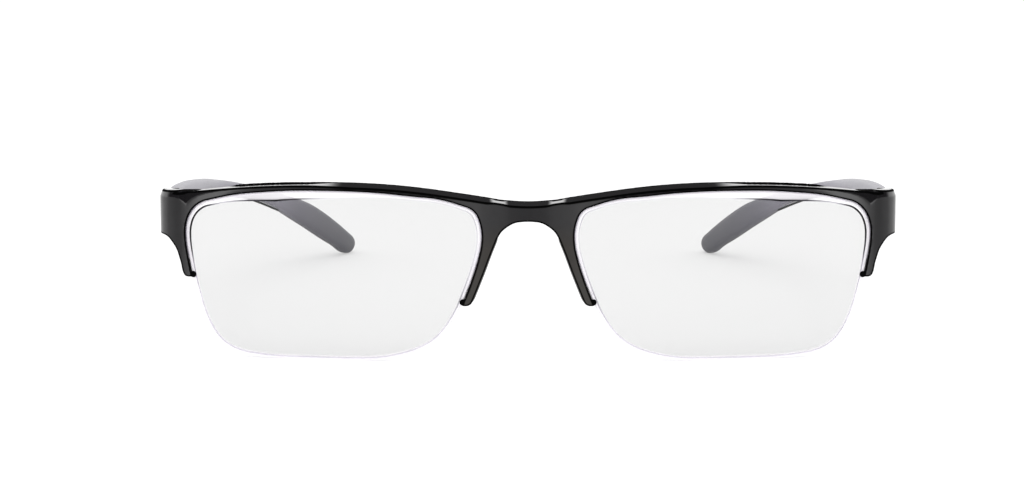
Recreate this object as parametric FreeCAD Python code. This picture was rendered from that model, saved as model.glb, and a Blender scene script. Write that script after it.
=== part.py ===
"""Half rim eyeglasses: a moulded half rim with two lenses, and two folding side arms.

Millimetres. +X is the wearer's left, +Y runs from the front back to the ear ends, +Z is up.
The parts are drawn with the bridge's front face at Y = 0 and the table at Z = 0. They are moved
along Y at the end, so that the origin is the middle of the whole object's base.
Everything is drawn for the wearer's left side and mirrored for the right.

An outline is a list of nodes (u, v, heading): a point, and the direction in degrees in which the
outline passes through it. Two tangent arcs join each node to the next. Two nodes at one point
with different headings make a corner.
"""
import FreeCAD, Part
import math
import os
from FreeCAD import Vector

# Front: plan shape
WRAP_RADIUS = 270.0          # front face, seen from above
RIM_DEPTH = 3.3              # front to back of the rim
HALF_WIDTH = 69.4            # outer face of the end piece
END_WALL = 2.8               # wall of the end piece where it runs back to the hinge
END_CORNER = 6.0             # outer corner radius, seen from above
BUTT_Y = 21.0                # rear face of the end piece, where the arm begins
ARM_GAP = 0.1                # between the end piece and the opened arm

# Lens and what holds it
LENS_SETBACK = 0.6           # rim's front face to the lens's front face
LENS_THICKNESS = 2.0
LENS_GAP = 0.12              # lens edge to rim
GROOVE_DEPTH = 0.5           # in the lens edge and in the rim
GROOVE_WIDTH = 0.9
BEAD_WIDTH = 0.8             # liner and cord, across the groove
BEAD_CLEARANCE = 0.05        # bead to the bottom of its groove
CLAW_RADIUS = 0.6            # rounded tab in front of the lens at each end of the rim
CLAW_DEPTH = 0.5
CORD_PROUD = 0.06            # how far the cord stands out of the lens's lower edge
RIM_SEAT_REACH = LENS_GAP + GROOVE_DEPTH - BEAD_CLEARANCE
ANCHOR_START = 0.5           # the cord's thick ends, up the rim's groove from each claw
ANCHOR_LENGTH = 2.6
BEAD_GAP = 0.1               # liner to cord

# Nose rests, behind the legs of the bridge
NOSE_REST_RADIUS = 6.2
NOSE_REST_CENTRE = (2.0, 17.2)       # (y, z) of its rounded back
NOSE_REST_WIDTH = 14.0               # the legs lie inside this distance from the middle
NOSE_REST_FRONT = 1.0                # the rests begin this far behind the bridge's front face
NOSE_REST_TOP = 23.5

# Hinge: a vertical pin through three barrels
PIN_X = 65.4
PIN_Y = BUTT_Y
HINGE_Z = 26.0               # middle of the hinge, its screw head lower than the brow's top
BARREL_RADIUS = 1.05
BARREL_HEIGHT = 1.8
BARREL_GAP = 0.1
HINGE_HEIGHT = 3 * BARREL_HEIGHT + 2 * BARREL_GAP
HINGE_LOW_Z = HINGE_Z - HINGE_HEIGHT / 2
PIN_RADIUS = 0.45
PIN_CLEARANCE = 0.05
PIN_HEAD_RADIUS = 0.8
PIN_HEAD_HEIGHT = 0.5
PIN_SLOT_WIDTH = 0.25
LEAF_THICKNESS = 0.9
LEAF_LENGTH = 5.6
LEAF_WEB = 2.0               # reach of the webs between barrels and plate, along Y
LEAF_OVERLAP = 0.3           # how far the webs run onto the plate
SCREW_RADIUS = 0.45
SCREW_LENGTH = 2.2
SCREW_HEAD_RADIUS = 0.8
SCREW_HEAD_HEIGHT = 0.35
SCREW_SPREAD = 1.7           # each screw from the middle of its leaf

# Arm and ear end
ARM_HALF_THICKNESS = 1.35
ARM_CENTRE_X = HALF_WIDTH - ARM_HALF_THICKNESS
GRIP_START_Y = 99.0          # the arm ends and the soft grip begins
CORE_HALF_THICKNESS = 0.5
CORE_START_Y = 84.0

# Lens edge, seen from the front, from the middle of its lower edge outwards and round
LENS_EDGE = [
    (36.0, 0.0, 0), (52.5, 0.6, 8), (58.6, 3.9, 53), (61.5, 10.0, 74), (63.3, 17.5, 80),
    (64.0, 23.3, 90), (62.0, 28.3, 138), (57.3, 30.05, 166), (47.0, 31.42, 175.5),
    (37.0, 31.7, 180), (24.0, 31.1, 186), (14.0, 29.75, 197), (9.4, 27.1, 248),
    (8.7, 23.6, 270), (9.75, 18.0, 287), (12.2, 11.2, 292), (14.7, 6.8, 304),
    (18.6, 3.0, 330), (24.5, 0.8, 347), (36.0, 0.0, 360),
]

# Half rim, seen from the front: its outer boundary on the wearer's left. The boundary crosses
# the lens opening, which is cut out of it, from the prong's end to the leg's end.
RIM_EDGE = [
    (0.0, 29.95, 0), (10.0, 31.05, 8.5), (23.5, 32.75, 4.8), (38.0, 33.25, 0), (53.0, 32.6, -5),
    (67.0, 31.1, -6), (71.0, 30.7, -6), (71.0, 30.7, 270), (71.0, 22.6, 270),
    (71.0, 22.6, 180), (68.7, 22.6, 180), (66.2, 20.6, 238), (65.2, 17.9, 253),
    (64.85, 16.2, 258), (63.8, 15.0, 180), (62.8, 15.0, 180), (62.8, 15.0, 185),
    (12.8, 10.65, 185), (12.8, 10.65, 180), (11.4, 10.6, 175), (10.3, 11.4, 113),
    (8.4, 16.1, 111.5), (6.4, 21.4, 112), (5.3, 23.9, 120), (3.2, 25.8, 150), (0.0, 26.4, 180),
]

# Claws at the two ends of the rim, seen from the front
CLAW_CENTRES = [(62.75, 15.5), (12.1, 11.3)]

# The end piece's top slopes down towards the hinge, seen from the side as (y, z)
END_TOP = [(9.0, 31.4), (BUTT_Y, 30.1)]

# Arm and ear end, seen from the side as (y, z, heading): back along the top, round, and home
ARM_SIDE = [
    (BUTT_Y + ARM_GAP, 29.95, 0), (27.0, 29.85, -3), (45.0, 28.5, -5.5), (62.0, 26.7, -6.3),
    (80.0, 24.5, -8.5), (94.0, 22.0, -13), (107.0, 18.6, -16.5), (119.5, 14.75, -19),
    (130.0, 9.85, -29), (137.6, 5.3, -33), (140.7, 2.6, -72), (139.7, 0.35, -150),
    (138.2, 0.0, 175), (131.0, 3.2, 155), (118.0, 9.75, 153.5), (104.5, 16.1, 160),
    (94.0, 18.6, 169), (80.0, 20.4, 175.5), (55.0, 21.9, 177), (35.0, 22.75, 178.5),
    (BUTT_Y + ARM_GAP, 23.0, 180),
]

# Middle of the arm, seen from above as (x, y, heading)
ARM_PLAN = [
    (ARM_CENTRE_X, BUTT_Y + ARM_GAP, 90), (ARM_CENTRE_X, 58.0, 90), (67.0, 80.0, 97),
    (62.9, 94.0, 114), (41.2, 140.4, 115.2),
]

# Core inside the ear end, seen from the side: upper edge back, then lower edge home
CORE_SIDE = [
    (CORE_START_Y, 22.9, -9), (107.0, 16.7, -20), (128.0, 8.1, -25),
    (128.0, 8.1, -115), (127.3, 6.6, -115),
    (127.3, 6.6, 155), (106.4, 15.1, 160), (CORE_START_Y, 21.3, 171),
]

FRONT_PLANE = lambda u, v: Vector(u, 0, v)
SIDE_PLANE = lambda u, v: Vector(0, u, v)
TOP_PLANE = lambda u, v: Vector(u, v, 0)
REACH = 300.0                # longer than the object, for shapes that only trim
LOW_Z = -10.0                # below the object
HIGH_Z = 60.0                # above it
STRAIGHT = 1e-4              # a turn this small, in radians, is a straight run
SAME_POINT = 1e-6
SAME_HEADING = 1e-9


def heading_vector(degrees):
    return Vector(math.cos(math.radians(degrees)), math.sin(math.radians(degrees)), 0)


def arc_edge(start, tangent, end, plane):
    """The arc from start to end that leaves start along tangent."""
    chord = end - start
    side = tangent.x * chord.y - tangent.y * chord.x
    turn = math.atan2(side, tangent.dot(chord))
    if abs(turn) < STRAIGHT:
        return Part.makeLine(plane(start.x, start.y), plane(end.x, end.y))
    sag = chord.Length / 2 * math.tan(turn / 2)
    outward = Vector(chord.y, -chord.x, 0).normalize()
    middle = (start + end) * 0.5 + outward * sag
    points = [plane(p.x, p.y) for p in (start, middle, end)]
    return Part.Arc(*points).toShape()


def biarc(node, following, plane):
    """Two tangent arcs from one node to the next."""
    start = Vector(node[0], node[1], 0)
    end = Vector(following[0], following[1], 0)
    leave = heading_vector(node[2])
    arrive = heading_vector(following[2])
    chord = end - start
    if chord.Length < SAME_POINT:
        return []
    along = chord.dot(leave + arrive)
    bend = 1 - leave.dot(arrive)
    if bend < SAME_HEADING:
        reach = chord.dot(chord) / (4 * chord.dot(leave))
    else:
        reach = (math.sqrt(along ** 2 + 2 * bend * chord.dot(chord)) - along) / (2 * bend)
    first = start + leave * reach
    second = end - arrive * reach
    joint = (first + second) * 0.5
    middle_heading = (second - first).normalize()
    return [arc_edge(start, leave, joint, plane), arc_edge(joint, middle_heading, end, plane)]


def outline(nodes, plane):
    """A closed wire through the nodes; the last is joined to the first by a straight run."""
    edges = []
    for node, following in zip(nodes, nodes[1:]):
        edges += biarc(node, following, plane)
    first = plane(nodes[0][0], nodes[0][1])
    last = plane(nodes[-1][0], nodes[-1][1])
    if (first - last).Length > SAME_POINT:
        edges.append(Part.makeLine(last, first))
    return Part.Wire(edges)


def mirrored_nodes(nodes):
    """The same outline on the other side, travelled so that it carries on from the first."""
    return [(-u, v, -heading) for u, v, heading in reversed(nodes)]


def offset_nodes(nodes, distance):
    """Nodes moved to the right of the direction of travel."""
    moved = []
    for u, v, heading in nodes:
        ahead = heading_vector(heading)
        moved.append((u + ahead.y * distance, v - ahead.x * distance, heading))
    return moved


def prism(wire, direction, offset=0.0):
    """The wire's inside, extruded both ways along a unit direction. The wire may be offset first."""
    if offset:
        wire = wire.makeOffset2D(offset)
    wires = wire if isinstance(wire, Part.Wire) else wire.Wires[0]
    face = Part.Face(wires)
    face.translate(direction * -REACH)
    return face.extrude(direction * 2 * REACH)


def box(low, high):
    size = [b - a for a, b in zip(low, high)]
    return Part.makeBox(size[0], size[1], size[2], Vector(*low))


def upright(radius, height, x, y, z):
    return Part.makeCylinder(radius, height, Vector(x, y, z), Vector(0, 0, 1))


def wrapped_layer(front, back):
    """All points between two depths behind the rim's curved front face."""
    height = HIGH_Z - LOW_Z
    outer = upright(WRAP_RADIUS - front, height, 0, WRAP_RADIUS, LOW_Z)
    inner = upright(WRAP_RADIUS - back, height, 0, WRAP_RADIUS, LOW_Z)
    ahead = box((-REACH, -REACH, LOW_Z), (REACH, WRAP_RADIUS / 2, HIGH_Z))
    return outer.cut(inner).common(ahead)


def mirror(shape):
    return shape.mirror(Vector(0, 0, 0), Vector(1, 0, 0))


def corner_centre_y(corner):
    """Where the end piece's corner is centred: it touches the front face and the side face."""
    across = HALF_WIDTH - corner
    return WRAP_RADIUS - math.sqrt((WRAP_RADIUS - corner) ** 2 - across ** 2)


def front_plan():
    """The front seen from above: one wall that turns back at both ends, as a prism along Z."""
    centre = Vector(0, WRAP_RADIUS, 0)
    corner = Vector(HALF_WIDTH - END_CORNER, corner_centre_y(END_CORNER), 0)
    ray = (corner - centre).normalize()
    diagonal = (ray + Vector(1, 0, 0)).normalize()
    rim_inner = WRAP_RADIUS - RIM_DEPTH
    inner_corner = END_CORNER - END_WALL
    blend = corner + ray * inner_corner
    blend_on_rim = centre + (blend - centre).normalize() * rim_inner

    def across(point):
        return Vector(-point.x, point.y, 0)

    outer_tangent = centre + ray * WRAP_RADIUS
    outer_middle = corner + diagonal * END_CORNER
    outer_side = Vector(HALF_WIDTH, corner.y, 0)
    outer_end = Vector(HALF_WIDTH, BUTT_Y, 0)
    inner_end = Vector(HALF_WIDTH - END_WALL, BUTT_Y, 0)
    inner_side = Vector(HALF_WIDTH - END_WALL, corner.y, 0)
    inner_middle = corner + diagonal * inner_corner
    edges = [
        Part.Arc(across(outer_tangent), Vector(0, 0, 0), outer_tangent).toShape(),
        Part.Arc(outer_tangent, outer_middle, outer_side).toShape(),
        Part.makeLine(outer_side, outer_end),
        Part.makeLine(outer_end, inner_end),
        Part.makeLine(inner_end, inner_side),
        Part.Arc(inner_side, inner_middle, blend).toShape(),
        Part.makeLine(blend, blend_on_rim),
        Part.Arc(blend_on_rim, Vector(0, RIM_DEPTH, 0), across(blend_on_rim)).toShape(),
        Part.makeLine(across(blend_on_rim), across(blend)),
        Part.Arc(across(blend), across(inner_middle), across(inner_side)).toShape(),
        Part.makeLine(across(inner_side), across(inner_end)),
        Part.makeLine(across(inner_end), across(outer_end)),
        Part.makeLine(across(outer_end), across(outer_side)),
        Part.Arc(across(outer_side), across(outer_middle), across(outer_tangent)).toShape(),
    ]
    return prism(Part.Wire(edges), Vector(0, 0, 1))


def lens_wire():
    return outline(LENS_EDGE, FRONT_PLANE)


def groove_layer():
    middle = LENS_SETBACK + LENS_THICKNESS / 2
    return wrapped_layer(middle - GROOVE_WIDTH / 2, middle + GROOVE_WIDTH / 2)


def bead_layer():
    middle = LENS_SETBACK + LENS_THICKNESS / 2
    return wrapped_layer(middle - BEAD_WIDTH / 2, middle + BEAD_WIDTH / 2)


def lens():
    wire = lens_wire()
    body = prism(wire, Vector(0, 1, 0))
    body = body.common(wrapped_layer(LENS_SETBACK, LENS_SETBACK + LENS_THICKNESS))
    groove = prism(wire, Vector(0, 1, 0)).cut(prism(wire, Vector(0, 1, 0), -GROOVE_DEPTH))
    return body.cut(groove.common(groove_layer()))


def bead_ring(reach):
    """The ring in the lens's groove that liner and cord share, out to reach beyond the lens."""
    wire = lens_wire()
    outside = prism(wire, Vector(0, 1, 0), reach)
    inside = prism(wire, Vector(0, 1, 0), BEAD_CLEARANCE - GROOVE_DEPTH)
    return outside.cut(inside).common(bead_layer())


def above_line(leg_z, prong_z):
    """Everything above a sloping line, given its heights at the leg and at the prong."""
    legs_x = CLAW_CENTRES[1][0]
    prongs_x = CLAW_CENTRES[0][0]
    slope = (prong_z - leg_z) / (prongs_x - legs_x)
    beyond = HALF_WIDTH + END_CORNER
    start = Vector(0, 0, leg_z - slope * legs_x)
    end = Vector(beyond, 0, prong_z + slope * (beyond - prongs_x))
    corners = [start, end, Vector(beyond, 0, HIGH_Z), Vector(0, 0, HIGH_Z), start]
    return prism(Part.makePolygon(corners), Vector(0, 1, 0))


def upper_liner():
    """The bead in the rim's groove, which stops short of the cord's ends."""
    heights = [z + ANCHOR_LENGTH + BEAD_GAP for x, z in reversed(CLAW_CENTRES)]
    return bead_ring(RIM_SEAT_REACH).common(above_line(*heights))


def retaining_cord():
    """Round the open edge in the lens's groove, with thick ends in the rim's groove."""
    tops = [z + ANCHOR_LENGTH for x, z in reversed(CLAW_CENTRES)]
    starts = [z + ANCHOR_START for x, z in reversed(CLAW_CENTRES)]
    ends = bead_ring(RIM_SEAT_REACH).cut(above_line(*tops)).common(above_line(*starts))
    return bead_ring(CORD_PROUD).cut(above_line(*tops)).fuse(ends).removeSplitter()


def nose_rest(strip):
    """The rounded back of one leg of the bridge."""
    y, z = NOSE_REST_CENTRE
    lobe = Part.makeCylinder(NOSE_REST_RADIUS, NOSE_REST_WIDTH, Vector(0, y, z), Vector(1, 0, 0))
    limits = box((0, NOSE_REST_FRONT, 0), (NOSE_REST_WIDTH, BUTT_Y, NOSE_REST_TOP))
    return strip.common(lobe).common(limits)


def claw(centre):
    start = Vector(centre[0], -BUTT_Y, centre[1])
    tab = Part.makeCylinder(CLAW_RADIUS, 2 * BUTT_Y, start, Vector(0, 1, 0))
    return tab.common(wrapped_layer(0, CLAW_DEPTH))


def above_end_piece():
    """Everything above the sloping top of the end pieces."""
    (start_y, start_z), (end_y, end_z) = END_TOP
    beyond = end_y + ARM_GAP
    end_z += (end_z - start_z) / (end_y - start_y) * ARM_GAP
    corners = [Vector(0, start_y, start_z), Vector(0, beyond, end_z), Vector(0, beyond, HIGH_Z),
               Vector(0, start_y, HIGH_Z), Vector(0, start_y, start_z)]
    return prism(Part.makePolygon(corners), Vector(1, 0, 0))


def front_frame(screws):
    edge = RIM_EDGE + mirrored_nodes(RIM_EDGE)
    across = Vector(0, 1, 0)
    opening = prism(lens_wire(), across, LENS_GAP)
    seat = prism(lens_wire(), across, LENS_GAP + GROOVE_DEPTH).common(groove_layer())
    strip = prism(outline(edge, FRONT_PLANE), across).cut(opening).cut(mirror(opening))
    frame = strip.common(front_plan()).cut(above_end_piece())
    for shape in [nose_rest(strip)] + [claw(c) for c in CLAW_CENTRES]:
        frame = frame.fuse(shape).fuse(mirror(shape))
    frame = frame.cut(seat).cut(mirror(seat))
    for screw in screws:
        frame = frame.cut(screw).cut(mirror(screw))
    return frame.removeSplitter()


def barrel(level):
    """One of three barrels: 0 is the lowest."""
    z = HINGE_Z + (level - 1) * (BARREL_HEIGHT + BARREL_GAP) - BARREL_HEIGHT / 2
    outer = upright(BARREL_RADIUS, BARREL_HEIGHT, PIN_X, PIN_Y, z)
    return outer, z


def leaf(levels, face_x, direction):
    """A hinge leaf: a plate on the inner face at face_x, webs, and barrels at some levels.

    direction is -1 for the front's leaf, which runs forward, and +1 for the arm's leaf.
    """
    near = PIN_Y + direction * (LEAF_WEB - LEAF_OVERLAP)
    far = near + direction * LEAF_LENGTH
    start, end = sorted((near, far))
    high_z = HINGE_LOW_Z + HINGE_HEIGHT
    shape = box((face_x - LEAF_THICKNESS, start, HINGE_LOW_Z), (face_x, end, high_z))
    start, end = sorted((PIN_Y + direction * ARM_GAP, PIN_Y + direction * LEAF_WEB))
    for level in levels:
        outer, z = barrel(level)
        web = box((PIN_X, start, z), (face_x, end, z + BARREL_HEIGHT))
        shape = shape.fuse(web).fuse(outer)
    bore = upright(PIN_RADIUS + PIN_CLEARANCE, HIGH_Z, PIN_X, PIN_Y, 0)
    return shape.cut(bore).removeSplitter()


def leaf_screws(face_x, direction, along):
    """Two countersunk screws through a leaf, set apart along "y" or "z"."""
    middle_y = PIN_Y + direction * (LEAF_WEB - LEAF_OVERLAP + LEAF_LENGTH / 2)
    screws = []
    for sign in (-1, 1):
        y = middle_y + (sign * SCREW_SPREAD if along == "y" else 0)
        z = HINGE_Z + (sign * SCREW_SPREAD if along == "z" else 0)
        base = Vector(face_x - LEAF_THICKNESS, y, z)
        head = Part.makeCone(SCREW_HEAD_RADIUS, SCREW_RADIUS, SCREW_HEAD_HEIGHT, base, Vector(1, 0, 0))
        shank = Part.makeCylinder(SCREW_RADIUS, SCREW_LENGTH, base, Vector(1, 0, 0))
        screws.append(head.fuse(shank).removeSplitter())
    return screws


def pivot_screw():
    head_z = HINGE_LOW_Z + HINGE_HEIGHT
    shank = upright(PIN_RADIUS, HINGE_HEIGHT, PIN_X, PIN_Y, HINGE_LOW_Z)
    head = upright(PIN_HEAD_RADIUS, PIN_HEAD_HEIGHT, PIN_X, PIN_Y, head_z)
    slot_low = (PIN_X - PIN_HEAD_RADIUS, PIN_Y - PIN_SLOT_WIDTH / 2, head_z + PIN_HEAD_HEIGHT / 2)
    slot_high = (PIN_X + PIN_HEAD_RADIUS, PIN_Y + PIN_SLOT_WIDTH / 2, HIGH_Z)
    return shank.fuse(head).cut(box(slot_low, slot_high)).removeSplitter()


def band_from_above(half_thickness, path):
    """A strip of even thickness along a path seen from above, as a prism along Z."""
    outer = offset_nodes(path, half_thickness)
    inner = [(u, v, heading + 180) for u, v, heading in reversed(offset_nodes(path, -half_thickness))]
    return prism(outline(outer + inner, TOP_PLANE), Vector(0, 0, 1))


def temple_core():
    side = prism(outline(CORE_SIDE, SIDE_PLANE), Vector(1, 0, 0))
    beyond = box((0, CORE_START_Y, 0), (REACH, REACH, HIGH_Z))
    return side.common(band_from_above(CORE_HALF_THICKNESS, ARM_PLAN)).common(beyond)


def temple_pieces(core, screws):
    """The arm and the ear grip, cut apart at GRIP_START_Y and hollowed for the core."""
    side = prism(outline(ARM_SIDE, SIDE_PLANE), Vector(1, 0, 0))
    whole = side.common(band_from_above(ARM_HALF_THICKNESS, ARM_PLAN)).cut(core)
    ahead = box((0, 0, LOW_Z), (REACH, GRIP_START_Y, HIGH_Z))
    arm = whole.common(ahead)
    for screw in screws:
        arm = arm.cut(screw)
    return arm, whole.cut(ahead)


def left_side_parts():
    """Every piece that exists once on each side, drawn for the wearer's left."""
    tail_face = HALF_WIDTH - END_WALL
    arm_face = HALF_WIDTH - 2 * ARM_HALF_THICKNESS
    front_screws = leaf_screws(tail_face, -1, "z")
    arm_screws = leaf_screws(arm_face, 1, "y")
    front_leaf = leaf((0, 2), tail_face, -1)
    arm_leaf = leaf((1,), arm_face, 1)
    for screw in front_screws:
        front_leaf = front_leaf.cut(screw)
    for screw in arm_screws:
        arm_leaf = arm_leaf.cut(screw)
    core = temple_core()
    arm, grip = temple_pieces(core, arm_screws)
    return {
        "lens": lens(),
        "upper_liner": upper_liner(),
        "retaining_cord": retaining_cord(),
        "front_hinge_leaf": front_leaf,
        "front_leaf_screws": Part.makeCompound(front_screws),
        "hinge_pivot_screw": pivot_screw(),
        "temple_arm": arm,
        "temple_hinge_leaf": arm_leaf,
        "temple_leaf_screws": Part.makeCompound(arm_screws),
        "temple_core_wire": core,
        "temple_tip_grip": grip,
    }


def main():
    os.makedirs("parts", exist_ok=True)
    left = left_side_parts()
    shapes = {"front_frame": front_frame(left["front_leaf_screws"].Solids)}
    for name, shape in left.items():
        shapes[name + "_left"] = shape
        shapes[name + "_right"] = mirror(shape)
    everything = Part.makeCompound(list(shapes.values())).BoundBox
    to_origin = Vector(0, -(everything.YMin + everything.YMax) / 2, -everything.ZMin)
    for name, shape in shapes.items():
        shape.translate(to_origin)
        shape.exportStep("parts/" + name + ".step")
        print(name, len(shape.Solids), shape.isValid(), round(shape.Volume, 1))
    size = (everything.XLength, everything.YLength, everything.ZLength)
    print("size", [round(length, 2) for length in size])
    print("moved", [round(c, 3) for c in to_origin])
    print("pin", PIN_X, round(PIN_Y + to_origin.y, 3))


main()
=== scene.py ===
"""Half rim eyeglasses: the finished surfaces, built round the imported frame.

Shapes are worked out in millimetres in the drawing's own axes: +X is the wearer's left, +Y runs
back from the bridge's front face, +Z is up from the table. add_piece() moves them into the
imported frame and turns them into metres.
"""

import math

import bmesh
import bpy
import numpy as np
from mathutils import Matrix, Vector


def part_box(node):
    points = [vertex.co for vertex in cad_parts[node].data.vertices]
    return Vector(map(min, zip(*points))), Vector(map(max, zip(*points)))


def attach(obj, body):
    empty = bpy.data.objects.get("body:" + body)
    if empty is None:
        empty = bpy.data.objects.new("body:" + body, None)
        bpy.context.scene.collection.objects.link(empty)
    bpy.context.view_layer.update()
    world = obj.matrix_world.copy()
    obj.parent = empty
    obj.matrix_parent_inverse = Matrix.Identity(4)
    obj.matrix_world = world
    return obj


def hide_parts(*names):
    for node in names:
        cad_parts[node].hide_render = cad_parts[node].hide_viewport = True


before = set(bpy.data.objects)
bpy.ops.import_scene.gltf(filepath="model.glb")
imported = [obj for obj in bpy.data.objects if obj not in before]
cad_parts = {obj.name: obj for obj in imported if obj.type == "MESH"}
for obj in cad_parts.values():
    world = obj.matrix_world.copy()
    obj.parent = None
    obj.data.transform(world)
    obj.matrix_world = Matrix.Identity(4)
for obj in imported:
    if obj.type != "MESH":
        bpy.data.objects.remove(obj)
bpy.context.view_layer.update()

MM = 0.001

# The drawing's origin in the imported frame, in metres
ORIGIN = Vector((0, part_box("front_frame")[0].y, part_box("lens_left")[0].z))

# Front, as in the design
WRAP_RADIUS = 270.0
RIM_DEPTH = 3.3
HALF_WIDTH = 69.4
END_WALL = 2.8
END_CORNER = 6.0
BUTT_Y = 21.0
END_TOP_SLOPE = 0.108                # the end piece's top falls this much per millimetre of Y
END_TOP_START = (9.0, 31.4)          # where that slope begins, as (y, z)
END_TOP_LEAD = 3.0                   # ahead of there it rises this steeply, clear of the brow
LENS_SETBACK = 0.6
LENS_THICKNESS = 2.0
LENS_GAP = 0.12
GROOVE_DEPTH = 0.5
GROOVE_WIDTH = 0.9
CLAW_RADIUS = 0.6
CLAW_DEPTH = 0.5
CLAW_CENTRES = [(62.75, 15.5), (12.1, 11.3)]
NOSE_REST_RADIUS = 6.2
NOSE_REST_CENTRE = (2.0, 17.2)
NOSE_REST_TOP = 23.5
NOSE_REST_FRONT = 1.2
NOSE_REST_WIDTH = 14.0

# Moulded surface of the front
EDGE_ROUNDING = 0.27
EDGE_BAND = 0.42                     # the painted edge shade fades out this far from an edge
CLAW_ROUNDING = 0.15
REST_ROUNDING = 0.95
REST_BLEND = 0.9
BEVEL_SLOPE = 0.42                   # the upper bevel leans back this much per millimetre up
BEVEL_CREASE = 0.1                   # how softly the bevel begins
TOP_SLOPE = 0.22                     # where it isn't flat, the top falls this much per millimetre forward
TOP_FALL = 2.0                       # and no further than this
TOP_SCALE = 0.94                     # distance from the sloping top for each millimetre of height
NO_TOP = -5.0                        # its value behind the brow, where the top is the end piece's
WALL_BLEND = (55.0, 62.0)            # the rim's depth changes to the end piece's wall between these
LIP_HEIGHT = 0.42                    # the ledge lies below the lip that runs along its rear edge
LIP_WIDTH = 0.5
CELL = 0.187                         # size of the front's mesh faces
FRONT_BOX = ((-70.0, -0.5, 9.9), (70.0, 21.5, 33.9))
OUTLINE_BOX = ((-1.5, 8.5), (71.5, 35.5))

# Height of the upper bevel below the brow's top, along the brow as (x, height)
BEVEL_LINE = [(0.0, 0.5), (8.0, 0.6), (20.0, 0.85), (38.0, 0.85), (50.0, 0.8), (55.0, 0.8),
              (58.0, 0.85), (60.2, 0.98), (61.7, 1.25), (62.8, 1.7), (63.9, 2.5), (64.5, 2.0),
              (65.2, 1.6), (66.0, 1.35), (67.6, 1.2), (70.0, 1.2)]

# Where the brow's top is a flat ledge, as (x, share)
LEDGE_LINE = [(0.0, 0.1), (3.4, 0.1), (4.6, 0.7), (6.2, 0.7), (7.6, 0.0), (33.0, 0.0),
              (41.0, 1.0), (63.4, 1.0), (64.2, 0.2), (65.4, 0.2), (66.4, 1.0), (70.0, 1.0)]

# Outlines from the front, as nodes (x, z, heading) joined by tangent arcs: first the lens's edge
LENS_EDGE = [
    (36.0, 0.0, 0), (52.5, 0.6, 8), (58.6, 3.9, 53), (61.5, 10.0, 74), (63.3, 17.5, 80),
    (64.0, 23.3, 90), (62.0, 28.3, 138), (57.3, 30.05, 166), (47.0, 31.42, 175.5),
    (37.0, 31.7, 180), (24.0, 31.1, 186), (14.0, 29.75, 197), (9.4, 27.1, 248),
    (8.7, 23.6, 270), (9.75, 18.0, 287), (12.2, 11.2, 292), (14.7, 6.8, 304),
    (18.6, 3.0, 330), (24.5, 0.8, 347), (36.0, 0.0, 360),
]

# The lens's ground margin at each of those nodes: its width, and how dark its inner line is painted, as a
# painted dark reflection in the lens's edge
MARGIN = [
    (0.35, 0.0), (0.35, 0.0), (0.4, 0.1), (0.45, 0.1), (0.55, 0.35), (0.6, 1.0), (0.68, 1.0),
    (0.8, 0.2), (1.45, 1.0), (1.2, 0.0), (0.5, 0.0), (0.42, 0.05), (0.55, 0.25), (0.55, 0.1),
    (0.5, 0.15), (0.5, 0.4), (0.35, 0.1), (0.35, 0.0), (0.35, 0.0), (0.35, 0.0),
]
LINE_WIDTH = 0.28                    # the margin's inner line
LINE_SHARES = (0.7, 1.3)             # of that width, where the line is palest and darkest
LENS_CORNER = 0.14                   # polished corners of its edge

# The half rim's boundary on the wearer's left; the lens opening is cut out of it
RIM_EDGE = [
    (0.0, 29.95, 0), (10.0, 31.05, 8.5), (23.5, 32.75, 4.8), (38.0, 33.25, 0), (53.0, 32.6, -5),
    (67.0, 31.1, -6), (71.0, 30.7, -6), (71.0, 30.7, 270), (71.0, 22.6, 270),
    (71.0, 22.6, 180), (68.7, 22.6, 180), (66.2, 20.6, 238), (65.2, 17.9, 253),
    (64.85, 16.2, 258), (63.8, 15.0, 180), (62.8, 15.0, 180), (62.8, 15.0, 185),
    (12.8, 10.65, 185), (12.8, 10.65, 180), (11.4, 10.6, 175), (10.3, 11.4, 113),
    (8.4, 16.1, 111.5), (6.4, 21.4, 112), (5.3, 23.9, 120), (3.2, 25.8, 150), (0.0, 26.4, 180),
]

# Retaining cord in the lens's groove
CORD_PROUD = 0.06
CORD_SINK = 0.45
CORD_WIDTH = 0.8
CORD_TOPS = [18.4, 14.2]             # height of its ends in the rim, at the prong and at the leg

# Arm and ear end: side view as (y, z, heading) along the top to the tip, then home
ARM_TOP = [
    (21.1, 29.95, 0), (27.0, 29.85, -3), (45.0, 28.5, -5.5), (62.0, 26.7, -6.3),
    (80.0, 24.5, -8.5), (94.0, 22.0, -13), (107.0, 18.6, -16.5), (119.5, 14.75, -19),
    (130.0, 9.85, -29), (137.6, 5.3, -33), (140.7, 2.6, -72), (140.3, 1.2, -128),
]
ARM_BOTTOM = [
    (140.3, 1.2, -128), (139.7, 0.35, -150), (138.2, 0.0, 175), (131.0, 3.2, 155),
    (118.0, 9.75, 153.5), (104.5, 16.1, 160), (94.0, 18.6, 169), (80.0, 20.4, 175.5),
    (55.0, 21.9, 177), (35.0, 22.75, 178.5), (21.1, 23.0, 180),
]
ARM_PLAN = [(68.05, 21.1, 90), (68.05, 58.0, 90), (67.0, 80.0, 97), (62.9, 94.0, 114),
            (41.2, 140.4, 115.2)]
ARM_HALF_THICKNESS = 1.35
ARM_SQUARENESS = 2.7                 # of its section: 2 is an ellipse
TIP_START = 0.955                    # share of the length where it begins to thin to the tip
TIP_FULLNESS = 2.4                   # 2 is an elliptical tip
BUTT_ROUNDING = 0.006                # share of the length that is eased at the hinge
BUTT_SHRINK = 0.05
GRIP_START_Y = 99.0
SEAM_GAP = 0.06
SEAM_DEPTH = 0.07                    # share of the section, in the groove at the seam
SEAM_WIDTH = 0.3

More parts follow.
